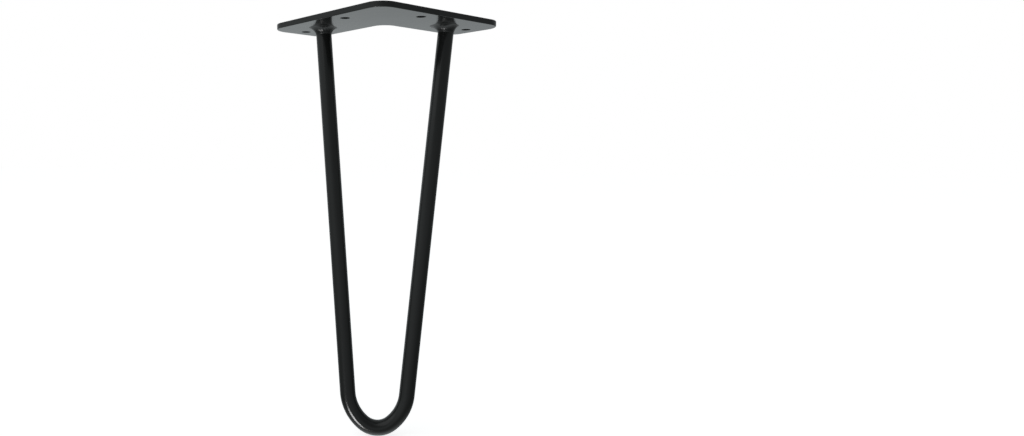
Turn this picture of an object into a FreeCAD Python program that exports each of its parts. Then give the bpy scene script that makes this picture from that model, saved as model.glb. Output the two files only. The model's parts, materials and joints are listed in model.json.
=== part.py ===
"""Hairpin table leg: an L-shaped mounting plate with one bent bar welded under it.

Frame: millimetres, +Z up. The plate's top face lies on Z = 0 against the table, and the leg hangs
down from it. The leg is symmetric about X = 0. The corner of the L points to -Y, and its two arms
run back towards +Y at 45 degrees on either side. The origin is midway between the inner screw holes.
"""
import FreeCAD, Part
import math
import os
import Sketcher
from FreeCAD import Placement, Rotation, Vector

# Driving dimensions in millimetres and degrees. "Along" is measured on an arm's outer edge from
# the corner of the L, and "inset" across the arm from that edge. The steel is 4 mm sheet and 12 mm
# bar, and its powder coat, 0.1 mm on each side, is counted in.
SIZES = {
    "arm_length": 132.0,
    "arm_width": 52.0,
    "plate_thickness": 4.2,
    "corner_radius": 13.0,
    "inside_corner_radius": 10.5,
    "end_outer_radius": 16.0,
    "end_inner_radius": 7.0,
    "rim_rounding": 0.6,
    "hole_diameter": 6.2,
    "inner_hole_along": 51.0,
    "inner_hole_inset": 12.0,
    "outer_hole_from_end": 13.2,
    "outer_hole_inset": 27.5,
    "rod_diameter": 12.2,
    "rod_along": 94.0,
    "leg_height": 323.0,
    "splay_angle": 6.0,
    "toe_radius": 17.2,
    "toe_half_turn": 38.8,
    "shoulder_radius": 33.3,
    "weld_leg": 5.2,
    "weld_height": 6.0,
    "weld_shoulder_angle": 15.0,
}

# Places that follow from them. The bar stands on the arms' centre lines.
CENTRE_LINE = "(sizes.arm_width / 2)"
CORNER_BACK = "((sizes.inner_hole_along + sizes.inner_hole_inset) / sqrt(2))"
INNER_HOLE_SIDE = "((sizes.inner_hole_along - sizes.inner_hole_inset) / sqrt(2))"
OUTER_HOLE_ALONG = "(sizes.arm_length - sizes.outer_hole_from_end)"
OUTER_HOLE_SIDE = f"(({OUTER_HOLE_ALONG} - sizes.outer_hole_inset) / sqrt(2))"
OUTER_HOLE_BACK = f"(({OUTER_HOLE_ALONG} + sizes.outer_hole_inset) / sqrt(2) - {CORNER_BACK})"
ROD_SIDE = f"((sizes.rod_along - {CENTRE_LINE}) / sqrt(2))"
ROD_BACK = f"((sizes.rod_along + {CENTRE_LINE}) / sqrt(2) - {CORNER_BACK})"
ROD_RADIUS = "(sizes.rod_diameter / 2)"
# How far the bar's centre line drops from the plate to the foot, measured down the splayed plane.
DROP = f"((sizes.leg_height - sizes.plate_thickness - {ROD_RADIUS}) / cos(sizes.splay_angle))"
ARM_ANGLE = "45"  # between each arm and X, so that the two arms are square to each other
WELD_STEPS = 5  # straight stretches that make up a weld's hollow profile

START, END, CENTRE = range(1, 4)  # the points of a line, arc or circle in a constraint
X_AXIS, Y_AXIS = range(-1, -3, -1)  # a sketch's own axes, which cross in its origin
ORIGIN = (X_AXIS, START)

doc = FreeCAD.newDocument("hairpin_table_leg")


def make_sheet():
    """One row for each driving dimension: its name, and its value under that alias."""
    sheet = doc.addObject("Spreadsheet::Sheet", "sizes")
    for row, (name, number) in enumerate(SIZES.items(), start=1):
        sheet.set(f"A{row}", name)
        sheet.set(f"B{row}", str(number))
        sheet.setAlias(f"B{row}", name)
    doc.recompute()
    return sheet


sheet = make_sheet()


def value(formula):
    """What a formula on the sheet comes to, as a plain number."""
    return float(sheet.evalExpression(formula))


def base_plane(body, role):
    """One of the body's own base planes."""
    return next(plane for plane in body.Origin.OriginFeatures if plane.Role == role)


def new_sketch(body, name, role):
    """An empty sketch that lies on one of the body's base planes."""
    sketch = body.newObject("Sketcher::SketchObject", name)
    sketch.AttachmentSupport = [(base_plane(body, role), "")]
    sketch.MapMode = "FlatFace"
    return sketch


def tie(sketch, *constraint):
    """Adds a constraint without a value."""
    sketch.addConstraint(Sketcher.Constraint(*constraint))


def measure(sketch, formula, *constraint):
    """Adds a constraint whose value follows a formula on the sheet."""
    number = value(formula)
    if constraint[0] == "Angle":
        number = math.radians(number)
    index = sketch.addConstraint(Sketcher.Constraint(*constraint, number))
    sketch.setExpression(f"Constraints[{index}]", formula)


def line(start, end):
    """A line between two points of a sketch."""
    return Part.LineSegment(Vector(*start), Vector(*end))


def runs_along_z(direction):
    """Whether a unit vector points straight up or down, and not sideways."""
    return round(abs(direction.z)) == 1


def upright_edge(shape, place):
    """Name of the upright edge that is nearest to a place in plan."""
    def away(number):
        point = shape.Edges[number - 1].Vertexes[0].Point
        return math.hypot(point.x - place[0], point.y - place[1])

    upright = [number for number, edge in enumerate(shape.Edges, start=1)
               if runs_along_z(edge.tangentAt(edge.FirstParameter))]
    return f"Edge{min(upright, key=away)}"


def round_corners(body, base, name, radius, places):
    """Rounds the plate's upright edges at the given places in plan."""
    fillet = body.newObject("PartDesign::Fillet", name)
    fillet.Base = (base, [upright_edge(base.Shape, place) for place in places])
    fillet.setExpression("Radius", f"sizes.{radius}")
    doc.recompute()
    return fillet


def make_plate():
    """The L plate: its outline padded downwards, corners and rim rounded, screw holes cut through."""
    body = doc.addObject("PartDesign::Body", "mounting_plate")
    length, width = value("sizes.arm_length"), value("sizes.arm_width")
    slant = math.sqrt(0.5)

    def place(along, inset, side):
        """Plan position of a point on the arm at that side, -1 left or 1 right."""
        return side * (along - inset) * slant, (along + inset) * slant - value(CORNER_BACK)

    outline = new_sketch(body, "plate_outline", "XY_Plane")
    corner, notch = place(0, 0, 1), place(width, width, 1)
    tips = {side: place(length, 0, side) for side in (-1, 1)}
    heels = {side: place(length, width, side) for side in (-1, 1)}
    loop = [corner, tips[1], heels[1], notch, heels[-1], tips[-1]]
    for start, end in zip(loop, loop[1:] + loop[:1]):
        outline.addGeometry(line(start, end), False)
    right_outer, right_end, right_inner, left_inner, left_end, left_outer = range(len(loop))
    for side in range(len(loop)):
        tie(outline, "Coincident", side, END, (side + 1) % len(loop), START)
    tie(outline, "PointOnObject", right_outer, START, Y_AXIS)
    tie(outline, "PointOnObject", left_inner, START, Y_AXIS)
    tie(outline, "Perpendicular", right_outer, right_end)
    tie(outline, "Perpendicular", right_outer, left_outer)
    tie(outline, "Perpendicular", left_outer, left_end)
    tie(outline, "Parallel", right_outer, right_inner)
    tie(outline, "Equal", right_outer, left_outer)
    tie(outline, "Equal", right_end, left_end)
    measure(outline, CORNER_BACK, "DistanceY", right_outer, START, *ORIGIN)
    measure(outline, ARM_ANGLE, "Angle", X_AXIS, START, right_outer, START)
    measure(outline, "sizes.arm_length", "Distance", right_outer)
    measure(outline, "sizes.arm_width", "Distance", right_end)

    pad = body.newObject("PartDesign::Pad", "plate_pad")
    pad.Profile = outline
    pad.Reversed = True
    pad.setExpression("Length", "sizes.plate_thickness")
    doc.recompute()

    feature = round_corners(body, pad, "corner_rounding", "corner_radius", [corner])
    feature = round_corners(body, feature, "notch_rounding", "inside_corner_radius", [notch])
    feature = round_corners(body, feature, "tip_rounding", "end_outer_radius", tips.values())
    feature = round_corners(body, feature, "heel_rounding", "end_inner_radius", heels.values())

    rim = body.newObject("PartDesign::Fillet", "rim_rounding")
    rim.Base = (feature, [f"Face{number}" for number, face in enumerate(feature.Shape.Faces, start=1)
                          if runs_along_z(face.normalAt(0, 0))])
    rim.setExpression("Radius", "sizes.rim_rounding")
    doc.recompute()

    holes = new_sketch(body, "screw_holes", "XY_Plane")
    radius = value("sizes.hole_diameter") / 2
    inner_side, outer_side = value(INNER_HOLE_SIDE), value(OUTER_HOLE_SIDE)
    outer_back = value(OUTER_HOLE_BACK)
    for centre in ((inner_side, 0), (-inner_side, 0), (outer_side, outer_back), (-outer_side, outer_back)):
        holes.addGeometry(Part.Circle(Vector(*centre), Vector(0, 0, 1), radius), False)
    inner_right, inner_left, outer_right, outer_left = range(4)
    measure(holes, "sizes.hole_diameter", "Diameter", inner_right)
    for other in (inner_left, outer_right, outer_left):
        tie(holes, "Equal", inner_right, other)
    tie(holes, "PointOnObject", inner_right, CENTRE, X_AXIS)
    tie(holes, "Symmetric", inner_right, CENTRE, inner_left, CENTRE, Y_AXIS)
    tie(holes, "Symmetric", outer_right, CENTRE, outer_left, CENTRE, Y_AXIS)
    measure(holes, INNER_HOLE_SIDE, "DistanceX", *ORIGIN, inner_right, CENTRE)
    measure(holes, OUTER_HOLE_SIDE, "DistanceX", *ORIGIN, outer_right, CENTRE)
    measure(holes, OUTER_HOLE_BACK, "DistanceY", *ORIGIN, outer_right, CENTRE)
    cut = body.newObject("PartDesign::Pocket", "hole_cut")
    cut.Profile = holes
    cut.Type = "ThroughAll"
    doc.recompute()

    return body


plate = make_plate()


def bend_points():
    """The right half of the bar's centre line, in the plane that it is bent in.

    Across is X and down is negative. Returns the two arc centres, the point where the arcs meet,
    the point where the straight leg starts, and the leg's lean in radians. The straight leg is
    the tangent from the point where the bar meets the plate to the shoulder arc.
    """
    toe, shoulder = value("sizes.toe_radius"), value("sizes.shoulder_radius")
    turn = math.radians(value("sizes.toe_half_turn"))
    outward = Vector(math.sin(turn), -math.cos(turn))
    toe_centre = Vector(0, toe - value(DROP))
    meeting = toe_centre + outward * toe
    shoulder_centre = meeting - outward * shoulder
    top = Vector(value(ROD_SIDE), 0)
    reach = top - shoulder_centre
    angle = math.atan2(reach.y, reach.x) - math.acos(shoulder / reach.Length)
    straight = shoulder_centre + Vector(math.cos(angle), math.sin(angle)) * shoulder
    return toe_centre, shoulder_centre, meeting, straight, -angle


def mirrored(point):
    """The same point on the left half."""
    return Vector(-point.x, point.y)


def make_rod():
    """The bent bar: a circle swept down one leg, round the three-centred foot and up the other.

    It is drawn in its own plane, with the origin on the plate's underside, and the splay turns
    that plane. Both legs run a little past the plate's underside and are cut off flush with it.
    """
    body = doc.addObject("PartDesign::Body", "hairpin_rod")
    toe_centre, shoulder_centre, meeting, straight, lean = bend_points()
    spare = value(ROD_RADIUS)
    root = Vector(value(ROD_SIDE), 0)
    top = root + Vector(math.tan(lean), 1) * spare
    toe, shoulder = value("sizes.toe_radius"), value("sizes.shoulder_radius")
    turn = math.radians(value("sizes.toe_half_turn"))
    down = -math.pi / 2

    def arc(centre, radius, first, last):
        """An arc from one angle round to another."""
        circle = Part.Circle(Vector(centre.x, centre.y), Vector(0, 0, 1), radius)
        return Part.ArcOfCircle(circle, first, last)

    path = new_sketch(body, "centre_line", "XZ_Plane")
    path.addGeometry([
        line(mirrored(top), mirrored(straight)),
        arc(mirrored(shoulder_centre), shoulder, math.pi + lean, 2 * math.pi + down - turn),
        arc(toe_centre, toe, down - turn, down + turn),
        arc(shoulder_centre, shoulder, down + turn, -lean),
        line(straight, top),
    ], False)
    path.addGeometry([Part.Point(mirrored(root)), Part.Point(root)], True)
    left_leg, left_shoulder, foot, right_shoulder, right_leg, left_root, right_root = range(7)
    tie(path, "Tangent", left_leg, END, left_shoulder, START)
    tie(path, "Tangent", left_shoulder, END, foot, START)
    tie(path, "Tangent", foot, END, right_shoulder, START)
    tie(path, "Tangent", right_shoulder, END, right_leg, START)
    tie(path, "Equal", left_shoulder, right_shoulder)
    tie(path, "PointOnObject", foot, CENTRE, Y_AXIS)
    tie(path, "Horizontal", foot, START, foot, END)
    tie(path, "PointOnObject", right_root, START, X_AXIS)
    tie(path, "Symmetric", right_root, START, left_root, START, Y_AXIS)
    tie(path, "PointOnObject", left_root, START, left_leg)
    tie(path, "PointOnObject", right_root, START, right_leg)
    measure(path, "sizes.toe_radius", "Radius", foot)
    measure(path, "sizes.shoulder_radius", "Radius", right_shoulder)
    measure(path, f"{DROP} - sizes.toe_radius", "DistanceY", foot, CENTRE, *ORIGIN)
    chord = "2 * sizes.toe_radius * sin(sizes.toe_half_turn)"
    measure(path, chord, "DistanceX", foot, START, foot, END)
    measure(path, ROD_SIDE, "DistanceX", *ORIGIN, right_root, START)
    measure(path, ROD_RADIUS, "DistanceY", *ORIGIN, left_leg, START)
    measure(path, ROD_RADIUS, "DistanceY", *ORIGIN, right_leg, END)
    doc.recompute()

    section = body.newObject("Sketcher::SketchObject", "bar_section")
    section.AttachmentSupport = [(path, "Edge1")]
    section.MapMode = "NormalToEdge"
    section.MapPathParameter = 0
    section.addGeometry(Part.Circle(Vector(0, 0), Vector(0, 0, 1), spare), False)
    tie(section, "Coincident", 0, CENTRE, *ORIGIN)
    measure(section, "sizes.rod_diameter", "Diameter", 0)
    doc.recompute()

    sweep = body.newObject("PartDesign::AdditivePipe", "bar_sweep")
    sweep.Profile = section
    sweep.Spine = (path, [])
    doc.recompute()

    above = new_sketch(body, "above_the_underside", "YZ_Plane")
    half, rise = value("sizes.rod_diameter"), value("2 * sizes.rod_diameter")
    slope = math.tan(math.radians(value("sizes.splay_angle")))
    rim = [(-half, -half * slope), (half, half * slope), (half, rise), (-half, rise)]
    for start, end in zip(rim, rim[1:] + rim[:1]):
        above.addGeometry(line(start, end), False)
    underside, back, lid, front = range(4)
    for side in range(4):
        tie(above, "Coincident", side, END, (side + 1) % 4, START)
    tie(above, "Vertical", back)
    tie(above, "Vertical", front)
    tie(above, "Horizontal", lid)
    tie(above, "Symmetric", underside, START, underside, END, *ORIGIN)
    measure(above, "sizes.splay_angle", "Angle", X_AXIS, START, underside, START)
    measure(above, "sizes.rod_diameter", "DistanceX", *ORIGIN, underside, END)
    measure(above, "2 * sizes.rod_diameter", "DistanceY", *ORIGIN, lid, END)
    trim = body.newObject("PartDesign::Pocket", "cut_to_the_plate")
    trim.Profile = above
    trim.SideType = "Symmetric"
    trim.Type = "ThroughAll"
    body.Placement = Placement(
        Vector(0, value(ROD_BACK), -value("sizes.plate_thickness")),
        Rotation(Vector(-1, 0, 0), value("sizes.splay_angle")),
    )
    body.setExpression("Placement.Base.y", ROD_BACK)
    body.setExpression("Placement.Base.z", "-sizes.plate_thickness")
    body.setExpression("Placement.Rotation.Angle", "sizes.splay_angle")
    doc.recompute()
    return body


rod = make_rod()


def weld_ring(step):
    """Formulas for one circle of a weld: its radius, and how far down the bar it lies.

    The circles follow a hollow quarter round. It starts and ends short of the full quarter by the
    shoulder angle, so the toe on the plate and the toe on the bar aren't knife edges.
    """
    start = "sizes.weld_shoulder_angle"
    turn = f"({start} + (90 - 2 * {start}) * {step} / {WELD_STEPS})"
    spread = f"(1 - sin({turn})) / (1 - sin({start}))"
    depth = f"(cos({start}) - cos({turn})) / (cos({start}) - sin({start}))"
    return f"{ROD_RADIUS} + sizes.weld_leg * {spread}", f"sizes.weld_height * {depth}"


def make_weld(name, side):
    """A fillet weld round one end of the bar: a hollow ring, seated on the plate and on the bar.

    It is lofted through circles that step down the bar. The first lies flat on the plate, and each
    next one is smaller and turned a little more square to the leaning bar, whose own cylinder is
    then cut out of the middle.
    """
    lean = math.degrees(bend_points()[-1])
    splayed = Rotation(Vector(-1, 0, 0), value("sizes.splay_angle"))
    along_bar = splayed.multiply(Rotation(Vector(0, 1, 0), side * lean))
    down_bar = along_bar.multVec(Vector(0, 0, -1))
    seat = Vector(side * value(ROD_SIDE), value(ROD_BACK), -value("sizes.plate_thickness"))

    flare = doc.addObject("Part::Loft", f"{name}_flare")
    rings = []
    for step in range(WELD_STEPS + 1):
        radius, depth = weld_ring(step)
        ring = doc.addObject("Part::Circle", f"{name}_ring_{step}")
        ring.setExpression("Radius", radius)
        turned = Rotation().slerp(along_bar, step / WELD_STEPS)
        ring.Placement = Placement(seat + down_bar * value(depth), turned)
        rings.append(ring)
    flare.Sections = rings
    flare.Solid = True
    flare.Ruled = True

    core = doc.addObject("Part::Cylinder", f"{name}_core")
    reach = "2 * sizes.weld_height"  # past the flare at both ends
    core.setExpression("Radius", ROD_RADIUS)
    core.setExpression("Height", f"2 * {reach}")
    core.Placement = Placement(seat + down_bar * value(reach), along_bar)

    weld = doc.addObject("Part::Cut", name)
    weld.Base = flare
    weld.Tool = core
    doc.recompute()
    return weld


welds = [make_weld("weld_bead_left", -1), make_weld("weld_bead_right", 1)]
NODES = [plate, rod, *welds]


def check():
    """Stops before anything is written if a feature failed or a piece isn't one valid solid."""
    doc.recompute()
    for thing in doc.Objects:
        if "Invalid" in thing.State or "Error" in thing.State:
            raise RuntimeError(f"{thing.Label} failed: {thing.State}")
    for node in NODES:
        shape = node.Shape
        if shape.isNull() or not shape.isValid() or len(shape.Solids) != 1:
            raise RuntimeError(f"{node.Label} isn't one valid solid")
        box = shape.optimalBoundingBox(True, False)
        print(f"{node.Label}: {shape.Volume:.1f} mm3, X {box.XMin:.2f} to {box.XMax:.2f}, "
              f"Y {box.YMin:.2f} to {box.YMax:.2f}, Z {box.ZMin:.2f} to {box.ZMax:.2f}")


def export():
    """Writes each piece to its own file."""
    os.makedirs("parts", exist_ok=True)
    for node in NODES:
        node.Shape.exportStep(f"parts/{node.Label}.step")


check()
export()
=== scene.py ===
# %% [markdown]
# # A hairpin table leg
#
# This lesson dresses a short hairpin leg: an L-shaped steel plate that screws under the corner of a
# table, and one round steel bar, bent like a hairpin and welded to it. Everything wears the same black
# powder coat. The solid model comes in ready made and at its true size, so what is left to learn is how
# to give bent and welded steel its finish, and how to light something black in front of white.

import json
import math

import bmesh
import bpy
from bmesh.types import BMEdge, BMVert
from mathutils import Matrix, Quaternion, Vector


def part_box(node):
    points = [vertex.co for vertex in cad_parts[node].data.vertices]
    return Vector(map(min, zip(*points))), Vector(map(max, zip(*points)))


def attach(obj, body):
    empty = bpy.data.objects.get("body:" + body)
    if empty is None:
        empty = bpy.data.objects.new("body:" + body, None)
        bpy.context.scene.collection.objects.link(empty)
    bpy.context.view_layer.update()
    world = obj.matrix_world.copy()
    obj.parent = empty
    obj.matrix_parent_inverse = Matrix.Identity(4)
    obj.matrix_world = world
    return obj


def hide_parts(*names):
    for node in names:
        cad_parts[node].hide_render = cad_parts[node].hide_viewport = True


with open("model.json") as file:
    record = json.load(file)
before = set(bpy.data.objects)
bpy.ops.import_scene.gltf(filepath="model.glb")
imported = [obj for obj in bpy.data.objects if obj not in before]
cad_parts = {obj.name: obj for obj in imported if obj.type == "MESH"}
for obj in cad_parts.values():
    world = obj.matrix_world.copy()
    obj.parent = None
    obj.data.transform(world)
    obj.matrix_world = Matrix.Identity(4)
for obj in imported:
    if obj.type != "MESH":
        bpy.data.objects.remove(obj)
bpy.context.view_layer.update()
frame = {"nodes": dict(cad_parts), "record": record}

# %% [markdown]
# ## The camera
#
# The photographer stood a little to the left of the leg's right bar and looked at it from between the
# plate and the foot, so the plate's underside shows as a thin strip. The picture is the left part of a
# wider view: the lens points at a column well left of the middle of the frame. A sideways shift of the
# sensor says that without turning the camera, so upright edges stay upright.

# %% Place the camera
PICTURE_WIDTH = 1024
SENSOR_WIDTH = 36
FOCAL_LENGTH_IN_PIXELS = 700
COLUMN_OF_THE_LENS_AXIS = 313.6
CAMERA_PLACE = Vector((0.0165, -0.5242, -0.0996))
CAMERA_TURN_LEFT = math.radians(7.21)
CAMERA_TILT_DOWN = math.radians(5.67)
CAMERA_ROLL = math.radians(0.39)
NEAREST_IN_VIEW = 0.01
LEVEL = math.pi / 2  # turned up this far, a camera looks along +Y

camera_data = bpy.data.cameras.new("camera")
camera_data.sensor_width = SENSOR_WIDTH
camera_data.lens = SENSOR_WIDTH * FOCAL_LENGTH_IN_PIXELS / PICTURE_WIDTH
camera_data.shift_x = 0.5 - COLUMN_OF_THE_LENS_AXIS / PICTURE_WIDTH
camera_data.clip_start = NEAREST_IN_VIEW
camera = bpy.data.objects.new("camera", camera_data)
bpy.context.scene.collection.objects.link(camera)
bpy.context.scene.camera = camera
camera.matrix_world = (
    Matrix.Translation(CAMERA_PLACE)
    @ Matrix.Rotation(CAMERA_TURN_LEFT, 4, "Z")
    @ Matrix.Rotation(LEVEL - CAMERA_TILT_DOWN, 4, "X")
    @ Matrix.Rotation(CAMERA_ROLL, 4, "Z")
)
print("lens", round(camera_data.lens, 2), "mm, shift", round(camera_data.shift_x, 4))

# %% [markdown]
# ## A small language for shaders
#
# A node tree drawn in the editor soon looks like knitting. Written down, most of it is sums, so one
# small class wraps a socket and lets Python's own operators add the Math nodes. Every other node comes
# from one method, which adds a node, makes its settings, and then fills or links its sockets.

# %% Sockets that can be added and multiplied
class Socket:
    """One output of a node tree, which takes part in ordinary sums."""

    def __init__(self, tree, socket):
        self.tree, self.socket = tree, socket

    def maths(self, operation, *values):
        return self.tree.node("ShaderNodeMath", {"operation": operation}, dict(enumerate(values)))

    def __add__(self, other):
        return self.maths("ADD", self, other)

    def __sub__(self, other):
        return self.maths("SUBTRACT", self, other)

    def __rsub__(self, other):
        return self.maths("SUBTRACT", other, self)

    def __mul__(self, other):
        return self.maths("MULTIPLY", self, other)

    def __pow__(self, other):
        return self.maths("POWER", self, other)

    __radd__, __rmul__ = __add__, __mul__

    def unsigned(self):
        """The value without its sign."""
        return self.maths("ABSOLUTE", self)

    def below(self, limit):
        """1 where the value is under the limit, and 0 elsewhere."""
        return self.maths("LESS_THAN", self, limit)

    def clamped(self):
        """The value kept between 0 and 1."""
        return self.tree.node("ShaderNodeClamp", {}, {"Value": self})


# %% One method for every other node
class Tree:
    """The nodes of one material, or of the world."""

    def __init__(self, owner):
        owner.use_nodes = True
        self.nodes, self.links = owner.node_tree.nodes, owner.node_tree.links
        self.nodes.clear()

    def node(self, kind, settings, inputs, output=0):
        """Adds a node. Its inputs are named or numbered, and each takes a value or a socket."""
        node = self.nodes.new(kind)
        for setting, value in settings.items():
            setattr(node, setting, value)
        for place, value in inputs.items():
            if isinstance(value, Socket):
                self.links.new(value.socket, node.inputs[place])
            else:
                node.inputs[place].default_value = value
        return Socket(self, node.outputs[output]) if node.outputs else None

    def noise(self, place, size, detail=2.0):
        """Noise whose lumps are about this big, in metres."""
        settings = {"Vector": place, "Scale": 1 / size, "Detail": detail}
        return self.node("ShaderNodeTexNoise", {}, settings)

    def mix(self, share, colour, other):
        """A colour that turns into another as the share goes from 0 to 1."""
        return self.node(
            "ShaderNodeMix", {"data_type": "RGBA"}, {"Factor": share, 6: colour, 7: other}, output=2)

    def xyz(self, vector):
        """The three parts of a vector, each as a number."""
        return [self.node("ShaderNodeSeparateXYZ", {}, {"Vector": vector}, output=axis)
                for axis in "XYZ"]


# %% [markdown]
# ## The laser's cut edge, and painted shade in the holes
#
# The plate was cut from sheet by a laser, and its cut edge keeps fine upright lines through the paint.
# Little powder gets into the narrow screw holes, so their coat is thin and dull, and their walls are
# painted near black and without gloss as well, which is painted shade. Both are found by shape, so
# nothing has to be painted by hand: the cut edge is where the skin stands upright, and a hole is a
# distance from its middle.

# %% Find the cut edge and the holes
LINE_SIZE = 0.0007
LINE_STRETCH = 25  # how much longer than wide a cut line is
HOLE_SHADE_RING = 0.0005  # how far the painted shade reaches out round a hole


def cut_edge_mask(tree):
    """1 where the skin stands upright, and 0 where it lies flat."""
    facing = tree.node("ShaderNodeNewGeometry", {}, {}, output="Normal")
    return 1 - tree.xyz(facing)[2] ** 2


def cut_lines(tree, place):
    """Noise that is drawn out upwards into fine lines."""
    stretch = {"Vector": place, "Scale": (1, 1, 1 / LINE_STRETCH)}
    return tree.noise(tree.node("ShaderNodeMapping", {}, stretch), LINE_SIZE)


def hole_mask(tree, place, holes):
    """1 in each hole and on a thin ring round it, where the shade is painted. Each hole is also there
    mirrored in X.
    """
    x, y, _ = tree.xyz(place)
    inside = 0
    for across, back, radius in holes:
        off = (x.unsigned() - across) ** 2 + (y - back) ** 2
        inside = off.below((radius + HOLE_SHADE_RING) ** 2) + inside
    return inside


# %% [markdown]
# ## Black powder coat
#
# Powder coat is a dry paint that is baked until it flows. It leaves a closed, semi-gloss skin that is
# never quite flat: under a lamp it shows a faint orange peel about a millimetre across, and a finer
# grain on top. Black paint has hardly any colour of its own. What is seen is almost all reflection, so
# the roughness and the small bumps matter more than the colour.
#
# The plate's coat is the same paint with the laser's mark, duller and lined on the cut edge. In the
# holes, a Mix Shader changes it for a near-black shader without gloss, which is painted shade.

# %% Make the coat
COAT_BLACK = (0.0070, 0.0073, 0.0070, 1)
COAT_BLACK_DUSTY = (0.0105, 0.0110, 0.0105, 1)
CLOUD_SIZE, PEEL_SIZE, GRAIN_SIZE = 0.026, 0.0011, 0.0003
CLOUD_DULLS, GRAIN_DULLS, CUT_EDGE_DULLS = 0.06, 0.02, 0.16  # what each adds to the roughness
PEEL_SHARE, GRAIN_SHARE, LINE_SHARE = 0.8, 0.2, 0.8  # of the height of the bumps
# near black, matte and without gloss: the painted shade inside the screw holes
HOLE_SHADE = {"Base Color": (0.003, 0.003, 0.003, 1), "Roughness": 0.9, "Specular IOR Level": 0.0}


def powder_coat(name, roughness, peel_height, holes=()):
    """A semi-gloss black coat with an orange peel of a given height, on a plate with these holes."""
    material = bpy.data.materials.new(name)
    tree = Tree(material)
    place = tree.node("ShaderNodeTexCoord", {}, {}, output="Object")
    cloud = tree.noise(place, CLOUD_SIZE, detail=3)
    peel = tree.noise(place, PEEL_SIZE)
    grain = tree.noise(place, GRAIN_SIZE)
    height = peel * PEEL_SHARE + grain * GRAIN_SHARE
    gloss = roughness + (cloud - 0.5) * CLOUD_DULLS + (grain - 0.5) * GRAIN_DULLS
    if holes:
        cut_edge = cut_edge_mask(tree)
        gloss = gloss + cut_edge * CUT_EDGE_DULLS
        height = height + cut_lines(tree, place) * cut_edge * LINE_SHARE
    bump = tree.node("ShaderNodeBump", {}, {"Strength": 1, "Distance": peel_height, "Height": height})
    surface = tree.node("ShaderNodeBsdfPrincipled", {}, {
        "Base Color": tree.mix(cloud, COAT_BLACK, COAT_BLACK_DUSTY), "Roughness": gloss, "Normal": bump})
    if holes:
        # the holes and a thin ring round them get painted shade, a near-black shader without gloss
        hole_shade = tree.node("ShaderNodeBsdfPrincipled", {}, HOLE_SHADE)
        surface = tree.node("ShaderNodeMixShader", {}, {
            0: hole_mask(tree, place, holes), 1: surface, 2: hole_shade})
    tree.node("ShaderNodeOutputMaterial", {}, {"Surface": surface})
    print(name, "has", len(tree.nodes), "nodes")
    return material


# %% Coat the plate
MM = 0.001
SCREW_HOLES = [
    (mount["dims"]["spacing_x_mm"] / 2 * MM, mount["pos_m"][1], mount["dims"]["hole_r_mm"] * MM)
    for mount in frame["record"]["mounts"] if mount["kind"] == "bolt_pattern"
]
print("screw holes at", SCREW_HOLES)
coats = frame["nodes"]["mounting_plate"].data.materials
coats.clear()
coats.append(powder_coat("coat_on_sheet_steel", 0.17, 0.000005, SCREW_HOLES))

# %% [markdown]
# ## The bent bar
#
# A hairpin is bent cold from one straight length of round bar: tightly round a small former at the
# foot, and in a wider sweep on either side. So the bend is three arcs that run into each other. The
# solid model's bar is right in size, but it is made of flat facets, and a thin streak of light along
# the bend breaks up on them. Gloss needs a smooth bar, so this one is drawn again in the way that it
# is bent. A ring at the foot is spun round the middle of each arc in turn and pulled out straight
# towards the plate. Then the bar is splayed, cut off flush with the plate, and mirrored.
#
# Only the radii and the two angles are typed in. How far the legs lean follows from them, because
# each leg has to touch the wide arc below and meet the middle of its weld above.

# %% Work out the bend
BAR_RADIUS = 0.0061
TOE_RADIUS, SHOULDER_RADIUS = 0.0172, 0.0333  # of the bar's middle line
TOE_TURN = math.radians(38.8)  # how far the tight arc runs, each way from the foot
BAR_SPLAY = math.radians(6)
FOOT_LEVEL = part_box("hairpin_rod")[0].z


def seat_of(bead):
    """Where the bar's middle line meets the plate, inside one of the weld beads."""
    low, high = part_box(bead)
    return Vector(((low.x + high.x) / 2, (low.y + high.y) / 2, high.z))


bar_seat = seat_of("weld_bead_right")
drop = (bar_seat.z - FOOT_LEVEL - BAR_RADIUS) / math.cos(BAR_SPLAY)
toe_centre = Vector((0, 0, TOE_RADIUS - drop))
towards_shoulder = Vector((math.sin(TOE_TURN), 0, -math.cos(TOE_TURN)))
shoulder_centre = toe_centre + towards_shoulder * (TOE_RADIUS - SHOULDER_RADIUS)
reach = Vector((bar_seat.x, 0, 0)) - shoulder_centre
BAR_LEAN = math.acos(SHOULDER_RADIUS / reach.length) - math.atan2(reach.z, reach.x)
leg_length = math.sqrt(reach.length_squared - SHOULDER_RADIUS ** 2)
print("the legs lean", round(math.degrees(BAR_LEAN), 3), "degrees and run", round(leg_length, 4), "m")

# %% Finish a piece
SAME_PLACE = 0.000001  # points nearer than this are merged


def finish_piece(shape, name, coat, node):
    """Turns a closed bmesh into the piece that stands for a node of the solid model."""
    bmesh.ops.remove_doubles(shape, verts=shape.verts, dist=SAME_PLACE)
    bmesh.ops.recalc_face_normals(shape, faces=shape.faces)
    for face in shape.faces:
        face.smooth = True
    mesh = bpy.data.meshes.new(name)
    shape.to_mesh(mesh)
    shape.free()
    mesh.materials.append(coat)
    piece = bpy.data.objects.new(name, mesh)
    bpy.context.scene.collection.objects.link(piece)
    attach(piece, "root")
    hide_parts(node)
    print(name, "has", len(mesh.polygons), "faces and measures", piece.dimensions[:])


# %% Bend one half of the bar
RING_POINTS = 64
TOE_STEPS, SHOULDER_STEPS = 20, 24
QUARTER_TURN = math.pi / 2


def only(kinds, parts):
    """What is of these kinds, such as edges, out of the parts that an operator gives back."""
    return [part for part in parts if isinstance(part, kinds)]


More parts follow.
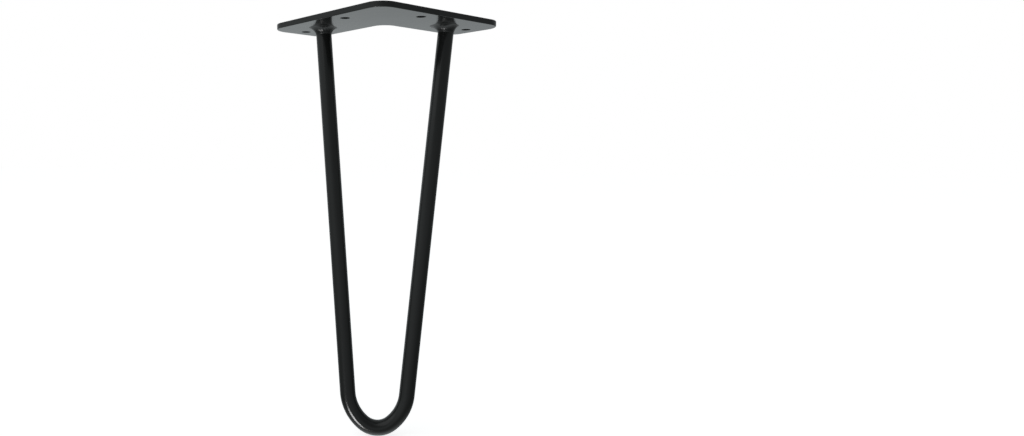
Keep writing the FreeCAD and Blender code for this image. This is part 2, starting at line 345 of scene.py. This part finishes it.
bar = bmesh.new()
foot = Matrix.Translation((0, 0, -drop)) @ Matrix.Rotation(QUARTER_TURN, 4, "Y")
bmesh.ops.create_circle(bar, segments=RING_POINTS, radius=BAR_RADIUS, matrix=foot)
ring = bar.verts[:] + bar.edges[:]
for centre, turn, steps in (
    (toe_centre, TOE_TURN, TOE_STEPS),
    (shoulder_centre, QUARTER_TURN - TOE_TURN - BAR_LEAN, SHOULDER_STEPS),
):
    bent = bmesh.ops.spin(
        bar, geom=ring, cent=centre, axis=(0, -1, 0), angle=turn, steps=steps, use_duplicate=False)
    ring = only((BMVert, BMEdge), bent["geom_last"])
along_leg = Vector((math.sin(BAR_LEAN), 0, math.cos(BAR_LEAN)))
leg = bmesh.ops.extrude_edge_only(bar, edges=only(BMEdge, ring))
bmesh.ops.translate(bar, verts=only(BMVert, leg["geom"]), vec=along_leg * (leg_length + BAR_RADIUS))
print("half a bar has", len(bar.faces), "faces")

# %% Splay, trim and mirror the bar
splay = Quaternion((-1, 0, 0), BAR_SPLAY).to_matrix()
bmesh.ops.rotate(bar, verts=bar.verts, cent=(0, 0, 0), matrix=splay)
bmesh.ops.translate(bar, verts=bar.verts, vec=(0, bar_seat.y, bar_seat.z))
trimmed = bmesh.ops.bisect_plane(
    bar, geom=bar.verts[:] + bar.edges[:] + bar.faces[:],
    plane_co=bar_seat, plane_no=(0, 0, 1), clear_outer=True)
rim = only(BMEdge, trimmed["geom_cut"])
for edge in rim:
    edge.smooth = False
bmesh.ops.contextual_create(bar, geom=rim)
bmesh.ops.mirror(
    bar, geom=bar.verts[:] + bar.edges[:] + bar.faces[:],
    matrix=Matrix.Identity(4), merge_dist=SAME_PLACE, axis="X")
COAT_ON_BAR = powder_coat("coat_on_bar_steel", 0.20, 0.0000015)
finish_piece(bar, "bent_bar", COAT_ON_BAR, "hairpin_rod")

# %% [markdown]
# ## The weld beads
#
# Each end of the bar is welded to the plate all the way round. A weld goes down as a row of small
# pools, and each pool freezes as a crescent that leans against the one before it. The coat softens
# the crescents, but they still break up the light, so they are modelled and not left to a bump map.
#
# The solid model says how wide each bead is and where it sits. Here a hollow profile as wide and as
# high, nearly flat on the plate and nearly upright on the bar, is spun round an upright axis. Then the
# ring is made lopsided, its vertices are pushed out by the crescents, and last it is bent, so that it
# lies flat on the plate and square to the leaning bar.

# %% Draw the hollow profile
BEAD_HEIGHT = 0.006
TOE_SLOPE = math.radians(12)  # how steep the hollow is where it starts, on the plate
NECK_SLOPE = math.radians(84)  # and where it ends, on the bar
FALL = BEAD_HEIGHT / (math.cos(TOE_SLOPE) - math.cos(NECK_SLOPE))


def hollow(slope, toe_radius):
    """The profile's radius and depth where it is this steep, and which way its skin faces there."""
    width = (toe_radius - BAR_RADIUS) / (math.sin(NECK_SLOPE) - math.sin(TOE_SLOPE))
    radius = BAR_RADIUS + width * (math.sin(NECK_SLOPE) - math.sin(slope))
    depth = FALL * (math.cos(TOE_SLOPE) - math.cos(slope))
    outwards = Vector((FALL * math.sin(slope), width * math.cos(slope)))
    return radius, depth, outwards.normalized()


def slope_at(depth):
    """How steep the hollow is at a depth under the plate."""
    depth = min(BEAD_HEIGHT, max(0, depth))
    return math.acos(math.cos(TOE_SLOPE) - depth / FALL)


# %% Shape the crescents
CRESCENTS = 32
CRESCENT_HEIGHT = 0.00014
CRESCENT_LAG = 1.1  # how far a crescent's middle trails its ends, in crescents
CRESCENT_DIP = 0.7  # how much of each crescent lies below the plain hollow
SLOW_WAVER, FAST_WAVER = 0.45, 0.3  # how far the row strays, in crescents
UNEVENNESS = 0.4


def crescent(around, slope, start):
    """Height of the ripples at an angle round the bar, where the hollow is this steep."""
    share = (slope - TOE_SLOPE) / (NECK_SLOPE - TOE_SLOPE)
    middle = max(0, math.sin(math.pi * share))
    waver = SLOW_WAVER * math.sin(3 * around + start) + FAST_WAVER * math.sin(7 * around + 2 * start)
    phase = CRESCENTS * around / 2 + math.pi * (CRESCENT_LAG * middle + waver)
    height = CRESCENT_HEIGHT * (1 + UNEVENNESS * math.sin(5 * around + 3 * start))
    return height * math.sqrt(middle) * (abs(math.sin(phase)) - CRESCENT_DIP)


# %% Spin the profile into a ring
PROFILE_POINTS = 15
STEPS_PER_CRESCENT = 8
SINK = 0.00005  # how far the bead reaches into the bar and the plate, so that no gap shows


def spun_ring(toe_radius):
    """A plain hollow ring that stands upright round the origin."""
    ring = bmesh.new()
    step = (NECK_SLOPE - TOE_SLOPE) / (PROFILE_POINTS - 1)
    profile = [hollow(TOE_SLOPE + step * i, toe_radius)[:2] for i in range(PROFILE_POINTS)]
    profile += [(BAR_RADIUS - SINK, BEAD_HEIGHT), (BAR_RADIUS - SINK, -SINK), (toe_radius, -SINK)]
    points = [ring.verts.new((radius, 0, -depth)) for radius, depth in profile]
    edges = [ring.edges.new(pair) for pair in zip(points, points[1:] + points[:1])]
    bmesh.ops.spin(
        ring, geom=points + edges, cent=(0, 0, 0), axis=(0, 0, 1), angle=2 * math.pi,
        steps=CRESCENTS * STEPS_PER_CRESCENT, use_merge=True, use_duplicate=False)
    return ring


# %% Ripple the ring and bend it to the bar
def ripple(ring, toe_radius, start, lopsided):
    """Makes a ring wider on its left by the lopsided share, and pushes the crescents out of it.

    The side that faces the bar and the plate stays plain, because a crescent has no height at the
    ends of the profile.
    """
    for point in ring.verts:
        around = math.atan2(point.co.y, point.co.x)
        out = math.hypot(point.co.x, point.co.y)
        slope = slope_at(-point.co.z)
        point.co.xy *= 1 - lopsided * math.cos(around) * max(0, out - BAR_RADIUS) / out
        rise = hollow(slope, toe_radius)[2] * crescent(around, slope, start)
        point.co += Vector((rise.x * math.cos(around), rise.x * math.sin(around), -rise.y))


def bend_to_bar(ring, seat, side):
    """Moves a ring to its seat, flat on the plate and more and more square to the leaning bar."""
    along_bar = Quaternion((-1, 0, 0), BAR_SPLAY) @ Quaternion((0, 1, 0), side * BAR_LEAN)
    for point in ring.verts:
        down = -point.co.z
        tilt = Quaternion().slerp(along_bar, min(1, max(0, down / BEAD_HEIGHT)))
        across = Vector((point.co.x, point.co.y, 0))
        point.co = seat + along_bar @ Vector((0, 0, -down)) + tilt @ across


# %% Weld both ends of the bar
LEFT, RIGHT = -1, 1
COAT_ON_WELD = powder_coat("coat_on_welds", 0.30, 0.000008)

for name, node, side, start, lopsided in (
    ("rippled_bead_left", "weld_bead_left", LEFT, 0.4, 0.05),
    ("rippled_bead_right", "weld_bead_right", RIGHT, 2.2, 0.33),
):
    low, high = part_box(node)
    toe_radius = (high.x - low.x) / 2
    bead = spun_ring(toe_radius)
    ripple(bead, toe_radius, start, lopsided)
    bend_to_bar(bead, seat_of(node), side)
    finish_piece(bead, name, COAT_ON_WELD, node)

# %% [markdown]
# ## The floor
#
# The leg stands on a sheet of white paper that is as bright as the air behind it, so no horizon shows.
# Most of that white is the paper's own glow, and the rest is light that falls on it, which is the part
# that the leg can shade. The paper is left out of reflections and casts no shadow: the lower half of
# the room stands in for it there, and a lamp can shine up through it.

# %% Lay the paper
PAPER_SIZE = 12
PAPER_GLOW = 0.79
PAPER_SHADE = (0.7, 0.7, 0.7, 1)

bpy.ops.mesh.primitive_plane_add(size=PAPER_SIZE, location=(0, 0, FOOT_LEVEL))
floor = bpy.context.object
floor.name = "floor"
floor.visible_glossy = floor.visible_diffuse = floor.visible_shadow = False
paper = bpy.data.materials.new("white_paper")
tree = Tree(paper)
glow = tree.node("ShaderNodeEmission", {}, {"Strength": PAPER_GLOW})
shaded = tree.node("ShaderNodeBsdfDiffuse", {}, {"Color": PAPER_SHADE})
tree.node("ShaderNodeOutputMaterial", {}, {
    "Surface": tree.node("ShaderNodeAddShader", {}, {0: glow, 1: shaded})})
floor.data.materials.append(paper)
print("the floor is at", FOOT_LEVEL)

# %% [markdown]
# ## The room
#
# Black paint shows the room more than itself, so the room is painted with care. It is bright behind
# the leg, where the plate's underside looks, bright below and on the left, and dim in front and on the
# right. A plain white room would do for bare metal or glass, which ought to mirror the background.
# Black paint turns grey all over in one, so only the camera sees white here, by Is Camera Ray.
#
# Each side of the room is a patch of light round one direction. A power of how far a ray points that
# way makes the patch: the higher the power, the smaller the patch.

# %% Paint the room
ROOM_TINT = (0.92, 0.985, 1.0, 1)
WHITE = (1, 1, 1, 1)
AIR = 0.085  # the dim light that comes from everywhere
LEFT_WALL, RIGHT_WALL, BACK_WALL, FRONT_WALL, CEILING, GROUND = 0.385, 0.16, 0.455, 0.24, 0.17, 1.1
BACK_WALL_FADE = 0.28  # how much darker the back wall gets towards the right
WIDE, MIDDLING, SMALL = 2, 3, 4  # the powers that make patches of these sizes

world = bpy.data.worlds.new("studio")
bpy.context.scene.world = world
tree = Tree(world)
direction = tree.node("ShaderNodeTexCoord", {}, {}, output="Generated")
to_right, to_back, upwards = tree.xyz(direction)
not_below = (upwards * 2 + 0.75).clamped()  # the side walls fade out towards the ground
eye_level_band = (1 - upwards.unsigned() * 2).clamped()  # and the front one is a band at eye level
left = (0.5 - to_right * 0.5) ** MIDDLING * not_below * (1 - to_back * 0.5)
right = (0.5 + to_right * 0.5) ** MIDDLING * not_below
behind = to_back.clamped() ** WIDE * (BACK_WALL - to_right * BACK_WALL_FADE)
front = (0 - to_back).clamped() ** WIDE * eye_level_band
above = upwards.clamped() ** SMALL
below = (0 - upwards).clamped() ** SMALL
walls = left * LEFT_WALL + right * RIGHT_WALL + behind + front * FRONT_WALL
glow = walls + above * CEILING + below * GROUND + AIR
room = tree.node("ShaderNodeBackground", {}, {"Color": ROOM_TINT, "Strength": glow})
white = tree.node("ShaderNodeBackground", {}, {"Color": WHITE, "Strength": 1.0})
seen = tree.node("ShaderNodeLightPath", {}, {}, output="Is Camera Ray")
tree.node("ShaderNodeOutputWorld", {}, {
    "Surface": tree.node("ShaderNodeMixShader", {}, {0: seen, 1: room, 2: white})})
print("the room has", len(tree.nodes), "nodes")

# %% [markdown]
# ## The lamps
#
# A wide, weak lamp stands high on the left and puts the shadow under the foot. A small one stands low
# in front, on the left. It is the one that black paint needs: it draws the thin line of light along
# the curve of the bend and puts a dull spot on each weld, and both tell the eye that the steel is
# round. It shines up through the paper, which is possible because the paper casts no shadow.

# %% Hang the lamps
AIM = Vector((0, 0.02, -0.16))


def softbox(name, place, size, power):
    """A square lamp that faces the leg. Its place and size are in metres, and its power in watts."""
    data = bpy.data.lights.new(name, "AREA")
    data.size = size
    data.energy = power
    lamp = bpy.data.objects.new(name, data)
    bpy.context.scene.collection.objects.link(lamp)
    lamp.location = place
    lamp.rotation_mode = "QUATERNION"
    lamp.rotation_quaternion = (AIM - Vector(place)).to_track_quat("-Z", "Y")
    print(name, "is", round((AIM - Vector(place)).length, 2), "m from the leg")


softbox("key_lamp", place=(-1.3, -1.1, 1.6), size=2.4, power=6)
softbox("low_lamp", place=(-0.585, -0.952, -0.965), size=0.40, power=7.6)

# %% Finish
bpy.context.scene.view_settings.view_transform = "Standard"
